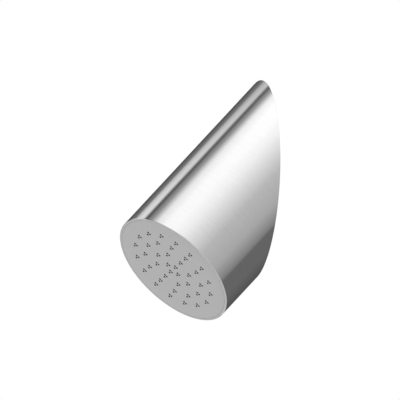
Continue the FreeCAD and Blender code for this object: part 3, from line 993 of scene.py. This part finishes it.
class Perforation(GeometryTree):
    """The geometry tree that drills a round plate with rings of three-jet clusters, about Z."""

    BORE = "bore"

    def jet_places(self, rings: int, added: int) -> NodeSocket:
        """Adds the rings of clusters, and the three jets of each cluster."""
        circles = []
        for index in range(rings):
            radius = self.size("Outer Ring Radius")
            if index < rings - 1:
                radius = self.math("MULTIPLY_ADD", self.size("Ring Pitch"), float(index))
                self.tree.links.new(self.size("First Ring Radius"), radius.node.inputs[2])
            circle = self.node("MeshCircle", {"Vertices": added * (index + 1), "Radius": radius})
            circles.append(circle.outputs[0])
        middles = self.node("JoinGeometry", {0: circles})
        half_back = self.math("MULTIPLY", self.size("Pair Spacing"), -0.5)
        pair_start = self.vector(self.size("Pair Offset"), half_back)
        pair_step = self.vector(0.0, self.size("Pair Spacing"))
        pair = self.line("Paired Jets", pair_start, pair_step)
        lone_start = self.vector(self.math("MULTIPLY", self.size("Lone Jet Offset"), -1.0), 0.0)
        lone = self.line("Lone Jets", lone_start, (0.0, 0.0, 0.0))
        cluster = self.node("JoinGeometry", {0: [pair, lone]})
        return self.placed(middles.outputs[0], cluster.outputs[0])

    def drilled_disc(
        self, places: NodeSocket, rim: NodeSocket, hole: NodeSocket, height: NodeSocket
    ) -> NodeSocket:
        """Fills the space between a rim and the jets' circles, at one station."""
        edge, mouth = (
            self.node("CurvePrimitiveCircle", {"Resolution": self.size(count, "Int"), "Radius": radius})
            for count, radius in (("Rim Points", rim), ("Jet Points", hole))
        )
        mouths = self.placed(places, mouth.outputs[0])
        outlines = self.node("JoinGeometry", {0: [edge.outputs[0], mouths]})
        filled = self.node("FillCurve", {"Curve": outlines.outputs[0]})
        return self.raised(filled.outputs[0], height)

    def build(self, rings: int, added: int) -> None:
        """Adds every node of the tree.

        Args:
            rings: The number of rings of clusters.
            added: How many clusters the first ring has, and each next ring adds.
        """
        places = self.jet_places(rings, added)
        jet = self.size("Jet Radius")
        mouth = self.math("ADD", jet, self.size("Countersink"))
        front, back = self.size("Front Station"), self.size("Back Station")
        neck = self.math("SUBTRACT", front, self.size("Countersink"))
        front_disc = self.drilled_disc(places, self.size("Front Rim Radius"), mouth, front)
        back_disc = self.drilled_disc(places, self.size("Back Rim Radius"), jet, back)
        sides = self.size("Jet Points", "Int")
        bore = self.node("MeshCylinder", {
            "Vertices": sides, "Radius": jet, "Depth": self.math("SUBTRACT", neck, back),
        }, fill_type="NONE")
        middle = self.math("MULTIPLY", self.math("ADD", neck, back), 0.5)
        sink = self.node("MeshCone", {
            "Vertices": sides,
            "Radius Top": mouth,
            "Radius Bottom": jet,
            "Depth": self.size("Countersink"),
        }, fill_type="NONE")
        sleeve = self.node("JoinGeometry", {0: [
            self.raised(bore.outputs["Mesh"], middle), self.raised(sink.outputs["Mesh"], neck),
        ]})
        sleeves = self.node("StoreNamedAttribute", {
            "Geometry": self.placed(places, sleeve.outputs[0]), "Name": self.BORE, "Value": True,
        }, data_type="BOOLEAN", domain="FACE")
        whole = self.node("JoinGeometry", {0: [
            self.group_in.outputs["Geometry"], front_disc, back_disc, sleeves.outputs[0],
        ]})
        bored = self.node("InputNamedAttribute", {"Name": self.BORE}, data_type="BOOLEAN")
        finished = self.node("SetMaterial", {
            "Geometry": self.dressed(whole.outputs[0], "Sheet Finish"),
            "Selection": bored.outputs[0],
            "Material": self.size("Bore Finish", "Material"),
        })
        self.end(finished.outputs[0])


class WovenScreen(GeometryTree):
    """The geometry tree that weaves wire cloth and joins it to the rim that comes in."""

    def cloth(self) -> NodeSocket:
        """Adds the wires of one direction, each waved over and under those that it crosses."""
        back = self.size("First Wire")
        along_wire = self.vector(self.size("Point Step"), 0.0)
        wire = self.line("Wire Points", self.vector(back, 0.0), along_wire)
        row = self.line("Wires", self.vector(0.0, back), self.vector(0.0, self.size("Wire Pitch")))
        place = self.node("InputPosition").outputs[0]
        out = add_node(self.tree, "ShaderNodeVectorMath", {0: place}, operation="LENGTH")
        kept = self.node("DeleteGeometry", {
            "Geometry": self.placed(row, wire),
            "Selection": self.math("GREATER_THAN", out.outputs["Value"], self.size("Cloth Radius")),
        })
        along = add_node(self.tree, "ShaderNodeSeparateXYZ", {0: place})
        half_turns = self.math("DIVIDE", math.pi, self.size("Wire Pitch"))
        waves = [
            self.math("COSINE", self.math("MULTIPLY", along.outputs[axis], half_turns))
            for axis in ("X", "Y")
        ]
        wave = self.math("MULTIPLY", self.math("MULTIPLY", *waves), self.size("Wire Radius"))
        waved = self.node("SetPosition", {
            "Geometry": kept.outputs[0], "Offset": self.vector(0.0, 0.0, wave),
        })
        path = self.node("MeshToCurve", {"Mesh": waved.outputs[0]})
        section = self.node("CurvePrimitiveCircle", {
            "Resolution": self.size("Wire Sides", "Int"), "Radius": self.size("Wire Radius"),
        })
        drawn = self.node("CurveToMesh", {
            "Curve": path.outputs[0], "Profile Curve": section.outputs[0], "Fill Caps": True,
        })
        return drawn.outputs[0]

    def build(self) -> None:
        """Adds every node of the tree."""
        warp = self.cloth()
        weft = self.node("Transform", {"Geometry": warp, "Rotation": (math.pi, 0.0, math.pi / 2)})
        cloth = self.node("JoinGeometry", {0: [warp, weft.outputs[0]]})
        raised = self.raised(cloth.outputs[0], self.size("Station"))
        whole = self.node("JoinGeometry", {0: [self.group_in.outputs["Geometry"], raised]})
        self.end(self.dressed(whole.outputs[0], "Wire Finish"))


class ScrewRow(GeometryTree):
    """The geometry tree that sets copies of a screw in a row along X."""

    def build(self) -> None:
        """Adds every node of the tree."""
        step = self.vector(self.size("Spacing"), 0.0)
        seats = self.line("Screws", self.vector(self.size("First Seat"), 0.0), step)
        screws = self.placed(seats, self.group_in.outputs["Geometry"])
        self.end(self.dressed(screws, "Screw Finish"))


@dataclass
class SprayHead:
    """The drilled face with its skirt, and the water chamber that it closes."""

    thickness: float = 2.0 * MM
    rounding: float = 0.04 * MM
    skirt_setback: float = 1.5 * MM
    skirt_wall: float = 1.6 * MM
    rings: int = 4
    clusters_added: int = 4
    first_ring: float = 5.2 * MM
    ring_pitch: float = 10.4 * MM
    outer_ring: float = 35.1 * MM
    pair_spacing: float = 1.95 * MM
    pair_offset: float = 0.65 * MM
    lone_offset: float = 2.1 * MM
    jet_radius: float = 0.825 * MM
    jet_points: int = 16
    countersink: float = 0.05 * MM
    segments: int = 192

    def face(self) -> None:
        """Builds the drilled face and its skirt."""
        low, high = HEAD.box("spray_face")
        radius, front, back = high.x, high.z, high.z - self.thickness
        skirt = radius - self.skirt_setback
        inner = skirt - self.skirt_wall
        surface = Surface(self.segments)
        rim_middle = (radius - self.rounding, front - self.rounding)
        rim = arc(rim_middle, self.rounding, 90, 0, FINE_STEPS)
        outline = [*rim, (radius, back), (skirt, back), (skirt, low.z), (inner, low.z), (inner, back)]
        surface.strip(surface.profile(outline))
        drill = Perforation("drill_spray_face")
        drill.build(self.rings, self.clusters_added)
        drilled = drill.apply(surface.mesh("skirt"), {
            "First Ring Radius": self.first_ring,
            "Ring Pitch": self.ring_pitch,
            "Outer Ring Radius": self.outer_ring,
            "Pair Spacing": self.pair_spacing,
            "Pair Offset": self.pair_offset,
            "Lone Jet Offset": self.lone_offset,
            "Paired Jets": 2,
            "Lone Jets": 1,
            "Jet Radius": self.jet_radius,
            "Countersink": self.countersink,
            "Front Station": front,
            "Back Station": back,
            "Front Rim Radius": radius - self.rounding,
            "Back Rim Radius": inner,
            "Rim Points": self.segments,
            "Jet Points": self.jet_points,
            "Sheet Finish": SATIN_SHEET.material(),
            # The jets' bores get the bore colour, which is painted shade
            "Bore Finish": SHADED_BORE.material(),
        })
        Piece("drilled_face", SATIN_SHEET, ("spray_face",)).from_mesh(drilled, HEAD.matrix)

    def build(self) -> None:
        """Builds and dresses the face and the chamber."""
        self.face()
        rubber_ring("moulded_chamber_seal", "chamber_seal")
        dress("centring_pads", NATURAL_NYLON)
        dress("chamber_back", BLACK_ACETAL)
        dress("baffle_disc", BLACK_ACETAL)


@dataclass
class Union:
    """The tail, nut, seals, screen and regulator that join the chamber to the elbow."""

    thread_clearance: float = 0.05 * MM
    chamfer_slope: float = math.sqrt(3)
    chamfer_steps: int = 6
    nut_lip: float = 3.0 * MM
    stem_radius: float = 8.0 * MM
    stem_pitch: float = 1.5 * MM
    stem_depth: float = 0.9 * MM
    flange_thickness: float = 2.5 * MM
    collar_height: float = 6.0 * MM
    edge: float = 0.3 * MM
    segments: int = 144
    screen_opening: float = 6.5 * MM
    wire_radius: float = 0.11 * MM
    wire_pitch: float = 0.7 * MM
    wire_sides: int = 6
    points_per_crossing: int = 4

    def hexagon_rings(self, surface: Surface, corner: float, low: float, high: float) -> list[list[int]]:
        """Adds the outside of a hexagon, chamfered at both ends.

        Args:
            surface: The surface to add to.
            corner: The hexagon's radius at its corners.
            low: The station of one end.
            high: The station of the other.

        Returns:
            The rings, from low to high.
        """
        outline = hexagon(2 * corner * FLAT_SHARE)
        inscribed = corner * FLAT_SHARE - self.edge
        reach = (corner - inscribed) / self.chamfer_slope
        starts = [reach * step / self.chamfer_steps for step in range(self.chamfer_steps + 1)]
        places = [(out, low + out) for out in starts] + [(out, high - out) for out in reversed(starts)]
        return [
            surface.ring(chamfered(outline, inscribed, self.chamfer_slope, out), station)
            for out, station in places
        ]

    def nut(self) -> None:
        """Builds the union nut, whose thread ends where the packing starts."""
        low, high = HEAD.box("union_nut")
        lip_bore, corner = HEAD.radii("union_nut")
        bore = PIPE_RADIUS + self.thread_clearance
        packing = HEAD.box("filter_screen")[0].z
        surface = Surface(self.segments)
        outside = self.hexagon_rings(surface, corner, low.z, high.z)
        thread = Thread(bore, -PIPE_DEPTH, PIPE_PITCH, shift=0.5)
        thread_rings = thread.rings(surface, low.z + self.edge, packing)
        lip = high.z - self.nut_lip
        inside = surface.profile([
            (lip_bore + self.edge, high.z), (lip_bore, high.z - self.edge), (lip_bore, lip), (bore, lip),
        ])
        mouth = surface.ring(bore + self.edge, low.z)
        surface.strip([*outside, *inside, *reversed(thread_rings), mouth, outside[0]])
        Piece("hexagon_union_nut", TURNED_BRASS, ("union_nut",)).from_surface(surface)

    def tail(self) -> None:
        """Builds the tail: flange, stem, hexagon collar and the thread that holds the chamber."""
        low, high = HEAD.box("inlet_tail")
        bore, corner = HEAD.radii("inlet_tail")
        flange = HEAD.radii("union_washer")[1]
        flange_end = low.z + self.flange_thickness
        collar_end, seal_end = (place.z for place in HEAD.box("tail_seal"))
        collar_start = collar_end - self.collar_height
        root = self.stem_radius - self.stem_depth
        surface = Surface(self.segments)
        collar = self.hexagon_rings(surface, corner, collar_start, collar_end)
        thread = Thread(root, self.stem_depth, self.stem_pitch).rings(surface, seal_end, high.z)
        foot = surface.profile([
            (bore, low.z + self.edge),
            (bore + self.edge, low.z),
            (flange - self.edge, low.z),
            (flange, low.z + self.edge),
            (flange, flange_end - self.edge),
            (flange - self.edge, flange_end),
            (self.stem_radius, flange_end),
            (self.stem_radius, collar_start),
        ])
        neck = surface.profile([(self.stem_radius, collar_end), (self.stem_radius, seal_end - self.edge)])
        mouth = surface.profile([(bore + self.edge, high.z), (bore, high.z - self.edge)])
        surface.strip([*foot, *collar, *neck, *thread, *mouth, foot[0]])
        Piece("threaded_inlet_tail", TURNED_BRASS, ("inlet_tail",)).from_surface(surface)

    def screen(self) -> None:
        """Builds the filter screen, woven by Geometry Nodes and held in its rim."""
        low, high = HEAD.box("filter_screen")
        outer = HEAD.radii("filter_screen")[1]
        surface = Surface(self.segments)
        rounded_ring(surface, self.screen_opening, outer, low.z, high.z, self.wire_radius)
        reach = math.ceil(self.screen_opening / self.wire_pitch)
        weaver = WovenScreen("weave_filter_screen")
        weaver.build()
        woven = weaver.apply(surface.mesh("screen_rim"), {
            "Wires": 2 * reach + 1,
            "Wire Points": 2 * reach * self.points_per_crossing + 1,
            "First Wire": -reach * self.wire_pitch,
            "Wire Pitch": self.wire_pitch,
            "Point Step": self.wire_pitch / self.points_per_crossing,
            "Wire Radius": self.wire_radius,
            "Wire Sides": self.wire_sides,
            "Cloth Radius": self.screen_opening + self.wire_pitch,
            "Station": (low.z + high.z) / 2,
            "Wire Finish": PLAIN_SCREW.material(),
        })
        Piece("woven_filter_screen", PLAIN_SCREW, ("filter_screen",)).from_mesh(woven, HEAD.matrix)

    def build(self) -> None:
        """Builds and dresses the union."""
        self.tail()
        self.nut()
        self.screen()
        rubber_ring("moulded_tail_seal", "tail_seal")
        rubber_ring("flat_union_washer", "union_washer")
        dress("flow_regulator", NATURAL_NYLON)


@dataclass
class WallFixing:
    """The elbow, its screws, the wall plate and the gasket behind it."""

    crest_overrun: float = 0.14 * MM
    socket_mouth: float = 10.9 * MM
    socket_depth: float = 12.9 * MM
    socket_inset: float = 0.1 * MM
    cutter_margin: float = 1.0 * MM
    outlet_thread: float = 12.8 * MM
    cutter_segments: int = 96
    elbow_sharp_over: float = math.radians(14)
    elbow_flat_under: float = math.radians(0.5)
    seat_offset: float = 20.0 * MM
    shank_radius: float = 2.5 * MM
    head_height: float = 3.0 * MM
    head_rounding: float = 0.6 * MM
    key: float = 2.5 * MM
    key_depth: float = 1.5 * MM
    screw_pitch: float = 0.8 * MM
    screw_thread: float = 0.45 * MM
    screw_segments: int = 48

    def socket_cutter(self) -> Surface:
        """Makes the tap that cuts the socket's thread: it starts in a countersink and clears the core."""
        surface = Surface(self.cutter_segments)
        root = PIPE_RADIUS - PIPE_DEPTH - self.socket_inset
        thread = Thread(root, PIPE_RADIUS - root, PIPE_PITCH)
        rings = thread.rings(surface, 0, self.socket_depth, self.socket_mouth)
        outside = surface.ring(self.socket_mouth + self.cutter_margin, -self.cutter_margin)
        surface.strip([outside, *rings])
        surface.fan(outside, -self.cutter_margin)
        surface.fan(rings[-1], self.socket_depth)
        surface.move(INLET_STEP)
        return surface

    def outlet_cutter(self) -> Surface:
        """Makes the die that cuts the outlet's thread, which ends in a groove before the shoulder."""
        surface = Surface(self.cutter_segments)
        end = HEAD.box("filter_screen")[0].z + self.crest_overrun
        start = end - self.outlet_thread
        thread = Thread(PIPE_RADIUS - PIPE_DEPTH, PIPE_DEPTH + self.crest_overrun, PIPE_PITCH)
        rings = thread.rings(surface, start, end)
        far = PIPE_RADIUS + self.cutter_margin
        surface.strip([*rings, surface.ring(far, end), surface.ring(far, start), rings[0]])
        surface.move(HEAD.matrix)
        return surface

    def elbow(self) -> None:
        """Cuts both threads into a merged copy of the CAD elbow."""
        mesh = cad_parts["elbow"].data.copy()
        mesh.materials.clear()
        body = linked("elbow_blank", mesh)
        merged(mesh, flat_under=self.elbow_flat_under)
        cutters = []
        for name, surface in (("tap", self.socket_cutter()), ("die", self.outlet_cutter())):
            cutter = linked(name, surface.mesh(name))
            merged(cutter.data)
            cut = body.modifiers.new(name, "BOOLEAN")
            cut.operation = "DIFFERENCE"
            cut.solver = "EXACT"
            cut.object = cutter
            cutters.append(cutter)
        threaded = baked(body)
        for made in (body, *cutters):
            bpy.data.objects.remove(made)
        threaded.materials.clear()
        Piece(
            "threaded_elbow", MILLED_BRASS, ("elbow",),
            sharp_over=self.elbow_sharp_over, flat_under=self.elbow_flat_under,
        ).from_mesh(threaded)

    def ear_screws(self) -> None:
        """Builds the two round-headed screws in the elbow's ears."""
        low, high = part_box("elbow_screws")
        seat = -low[1] - self.head_height
        tip = -high[1] - seat
        head = -low[0] - self.seat_offset
        surface = Surface(self.screw_segments)
        core = self.shank_radius - self.screw_thread
        thread = Thread(core, self.screw_thread, self.screw_pitch)
        shank = thread.rings(surface, tip, -self.screw_thread)
        edge_middle = (head - self.head_rounding, self.head_height - self.head_rounding)
        edge = arc(edge_middle, self.head_rounding, 0, 90, FINE_STEPS)
        head_rings = surface.profile([(core, 0), (head, 0), *edge])
        socket = key_socket(surface, self.key, self.head_height, self.key_depth)
        surface.strip([*shank, *head_rings, *socket])
        surface.fan(shank[0], tip)
        surface.fan(socket[-1], self.head_height - self.key_depth)
        surface.move(INLET_STEP @ Matrix.Translation((0, 0, seat)))
        row = ScrewRow("set_ear_screws")
        row.build()
        screws = row.apply(surface.mesh("ear_screw"), {
            "Screws": 2,
            "First Seat": -self.seat_offset,
            "Spacing": 2 * self.seat_offset,
            "Screw Finish": PLAIN_SCREW.material(),
        })
        Piece("elbow_ear_screws", PLAIN_SCREW, ("elbow_screws",)).from_mesh(screws)

    def build(self) -> None:
        """Builds and dresses what is fixed to the wall."""
        self.elbow()
        self.ear_screws()
        dress("wall_plate", MILL_PLATE)
        dress("wall_gasket", EPDM_RUBBER)


@dataclass(frozen=True)
class Panel:
    """One panel of the light tent, between two angles about the head's axis, in degrees.

    Angles run from +X away from the wall. The drift is the share by which a panel gets brighter for each
    metre towards the wall, and it is negative where it gets darker.
    """

    name: str
    start: float
    end: float
    start_level: float
    end_level: float
    drift: float = 0.0

    def holds(self, degrees: float) -> bool:
        """Tells whether an angle falls on this panel."""
        return (degrees - self.start) % 360 < self.end - self.start

    def level(self, degrees: float, past_middle: float) -> float:
        """Works out the panel's level at one place.

        Args:
            degrees: The angle about the head's axis.
            past_middle: The distance towards the wall from the middle of the stretch that the tube mirrors
                to the camera.

        Returns:
            The level, where one is white.
        """
        share = (degrees - self.start) % 360 / (self.end - self.start)
        level = self.start_level + (self.end_level - self.start_level) * share
        return level * (1 + self.drift * past_middle)


# A dark wall side, one wide soft key that dims towards the wall, a gap, and a kicker beside the open side
TENT_PANELS = (
    Panel("wall_side", -200, -150, 0.108, 0.105),
    Panel("wall_low", -150, -112, 0.12, 0.21),
    Panel("wall_high", -112, -77.5, 0.213, 0.217),
    Panel("key_fall", -77.5, -50, 0.335, 0.665, 0.4),
    Panel("key_low", -50, -13, 0.67, 0.825, 0.25),
    Panel("key_slope", -13, 10, 0.825, 1.175, 0.15),
    Panel("key_climb", 10, 30, 1.185, 1.51, 0.4),
    Panel("key_rise", 30, 52, 1.52, 1.73, 0.4),
    Panel("key_top", 52, 70, 1.73, 1.72, 0.5),
    Panel("key_shoulder", 70, 86, 1.72, 1.46, 1.0),
    Panel("key_edge", 86, 98, 1.46, 0.50, 2.3),
    Panel("key_foot", 98, 105.5, 0.51, 0.32, 1.4),
    Panel("gap", 105.5, 112.2, 0.175, 0.18, 2.0),
    Panel("kicker_rise", 112.2, 117, 0.28, 1.0, -1.4),
    Panel("kicker", 117, 127, 1.03, 0.94, -2.2),
    Panel("kicker_end", 127, 138, 0.90, 0.55, -2.2),
    Panel("open_side", 138, 160, 0.29, 0.108, 0.0),
)

# In front of the spray face the tent's dark side is open to the white surroundings
FRONT_PANELS = (
    Panel("front_open", 145, 160, 0.25, 1.0),
    Panel("front_side", 160, 215, 1.0, 1.0),
    Panel("front_turn", -145, -105, 1.0, 0.35),
)


@dataclass
class Studio:
    """The light tent, the pale floor, the white surroundings and the camera."""

    tent_radius: float = 1.5
    tent_end: float = 2.4
    tent_opening: float = 0.1
    tent_seam: float = 0.04
    tent_segments: int = 360
    mirrored_middle: float = -0.785
    mirrored_reach: float = 0.115
    floor_height: float = -0.45
    floor_radius: float = 1.0
    floor_fade_start: float = 0.3
    floor_fade_end: float = 0.6
    floor_segments: int = 96
    floor_colour: str = "#E6E6E6"
    surroundings: str = "#FFFFFF"
    azimuth: float = math.radians(68.77)
    elevation: float = math.radians(-19.43)
    picture_width: float = 0.2997
    aim_right: float = 20.15 * MM
    aim_up: float = 52.11 * MM
    camera_distance: float = 0.31
    clip_start: float = 0.01
    clip_end: float = 20.0

    def level(self, degrees: float, station: float) -> float:
        """Finds the tent's level at an angle about the head's axis and a station on it."""
        panels = (FRONT_PANELS if station > self.tent_opening else ()) + TENT_PANELS
        past_middle = min(self.mirrored_reach, self.mirrored_middle - station)
        past_middle = max(-self.mirrored_reach, past_middle)
        return next(panel.level(degrees, past_middle) for panel in panels if panel.holds(degrees))

    def staged(self, name: str, label: str, surface: Surface, step: Matrix) -> tuple[Object, NodeTree]:
        """Makes an object of the stage, which isn't part of the shower head.

        Args:
            name: The object's name.
            label: Its material's name.
            surface: Its shape.
            step: The step from the shape's frame to the model's frame.

        Returns:
            The object, and its material's tree with nothing in it.
        """
        surface.move(step)
        mesh = surface.mesh(name)
        mesh.shade_smooth()
        material = bpy.data.materials.new(label)
        mesh.materials.append(material)
        made = linked(name, mesh)
        return made, emptied(material)

    def tent(self) -> None:
        """Builds the tube of light panels round the head's axis, unseen by the camera and matt surfaces."""
        stations = (
            -self.tent_end,
            self.mirrored_middle - self.mirrored_reach,
            self.mirrored_middle + self.mirrored_reach,
            self.tent_opening,
            self.tent_opening + self.tent_seam,
            self.tent_end,
        )
        surface = Surface(self.tent_segments)
        surface.strip([surface.ring(self.tent_radius, station) for station in stations])
        tent, tree = self.staged("light_tent", "tent_light", surface, HEAD.matrix)
        step = 360 / self.tent_segments
        angles = [step * index for index in range(self.tent_segments)]
        levels = [self.level(angle, station) for station in stations for angle in angles]
        tent.data.attributes.new("level", "FLOAT", "POINT").data.foreach_set("value", levels)
        tent.visible_camera = False
        tent.visible_diffuse = False
        level = add_node(tree, "ShaderNodeAttribute", attribute_name="level")
        light = add_node(tree, "ShaderNodeEmission", {"Strength": level.outputs["Fac"]})
        add_node(tree, "ShaderNodeOutputMaterial", {"Surface": light.outputs[0]})

    def seen(self, tree: NodeTree) -> NodeSocket:
        """Adds the test for rays that see the background: straight, or by a gloss or through glass."""
        path = add_node(tree, "ShaderNodeLightPath").outputs
        glossy = add_node(tree, "ShaderNodeMath", {
            0: path["Is Camera Ray"], 1: path["Is Glossy Ray"],
        }, operation="MAXIMUM")
        through = add_node(tree, "ShaderNodeMath", {
            0: glossy.outputs[0], 1: path["Is Transmission Ray"],
        }, operation="MAXIMUM")
        return through.outputs[0]

    def floor(self) -> None:
        """Builds the pale floor, which fades into the white surroundings at its edge."""
        surface = Surface(self.floor_segments)
        surface.fan(surface.ring(self.floor_radius, 0), 0)
        step = Matrix.Translation((0, 0, self.floor_height))
        tree = self.staged("floor", "painted_floor", surface, step)[1]
        here = add_node(tree, "ShaderNodeTexCoord").outputs["Object"]
        flat = add_node(tree, "ShaderNodeVectorMath", {
            0: here, 1: (1.0, 1.0, 0.0),
        }, operation="MULTIPLY")
        out = add_node(tree, "ShaderNodeVectorMath", {0: flat.outputs[0]}, operation="LENGTH")
        edge = add_node(tree, "ShaderNodeMapRange", {
            "Value": out.outputs["Value"],
            "From Min": self.floor_fade_start,
            "From Max": self.floor_fade_end,
        }, interpolation_type="SMOOTHSTEP")
        show = add_node(tree, "ShaderNodeMath", {
            0: edge.outputs[0], 1: self.seen(tree),
        }, operation="MULTIPLY")
        paint = add_node(tree, "ShaderNodeBsdfDiffuse", {"Color": linear(self.floor_colour)})
        white = add_node(tree, "ShaderNodeEmission", {"Color": linear(self.surroundings)})
        mixed = add_node(tree, "ShaderNodeMixShader", {
            0: show.outputs[0], 1: paint.outputs[0], 2: white.outputs[0],
        })
        add_node(tree, "ShaderNodeOutputMaterial", {"Surface": mixed.outputs[0]})

    def world(self) -> None:
        """Makes the surroundings plain white, which lights a colour at the level it is written."""
        world = bpy.data.worlds.new("surroundings")
        bpy.context.scene.world = world
        tree = emptied(world)
        light = add_node(tree, "ShaderNodeBackground", {
            "Color": linear(self.surroundings), "Strength": 1.0,
        })
        add_node(tree, "ShaderNodeOutputWorld", {"Surface": light.outputs[0]})

    def camera(self) -> None:
        """Places the camera at the photograph's angle, with no perspective."""
        data = bpy.data.cameras.new("camera")
        data.type = "ORTHO"
        data.ortho_scale = self.picture_width
        data.clip_start, data.clip_end = self.clip_start, self.clip_end
        camera = linked("camera", data)
        back = Vector((
            math.sin(self.azimuth) * math.cos(self.elevation),
            -math.cos(self.azimuth) * math.cos(self.elevation),
            math.sin(self.elevation),
        ))
        right = Vector((math.cos(self.azimuth), math.sin(self.azimuth), 0))
        up = back.cross(right)
        face = HEAD.matrix @ Vector((0, 0, HEAD.box("spray_face")[1].z))
        aim = face + right * self.aim_right + up * self.aim_up
        camera.location = aim + back * self.camera_distance
        camera.rotation_mode = "QUATERNION"
        camera.rotation_quaternion = (-back).to_track_quat("-Z", "Y")
        bpy.context.scene.camera = camera

    def build(self) -> None:
        """Sets up the whole studio and the plain view transform."""
        bpy.context.scene.view_settings.view_transform = "Standard"
        self.camera()
        self.tent()
        self.floor()
        self.world()


def main() -> None:
    """Builds the studio and every part of the head."""
    logging.basicConfig(level=logging.INFO, format="%(name)s: %(message)s")
    for part in (Studio(), CoverShell(), SprayHead(), Union(), WallFixing()):
        LOG.info("building %s", type(part).__name__)
        part.build()


if __name__ == "__main__":
    main()
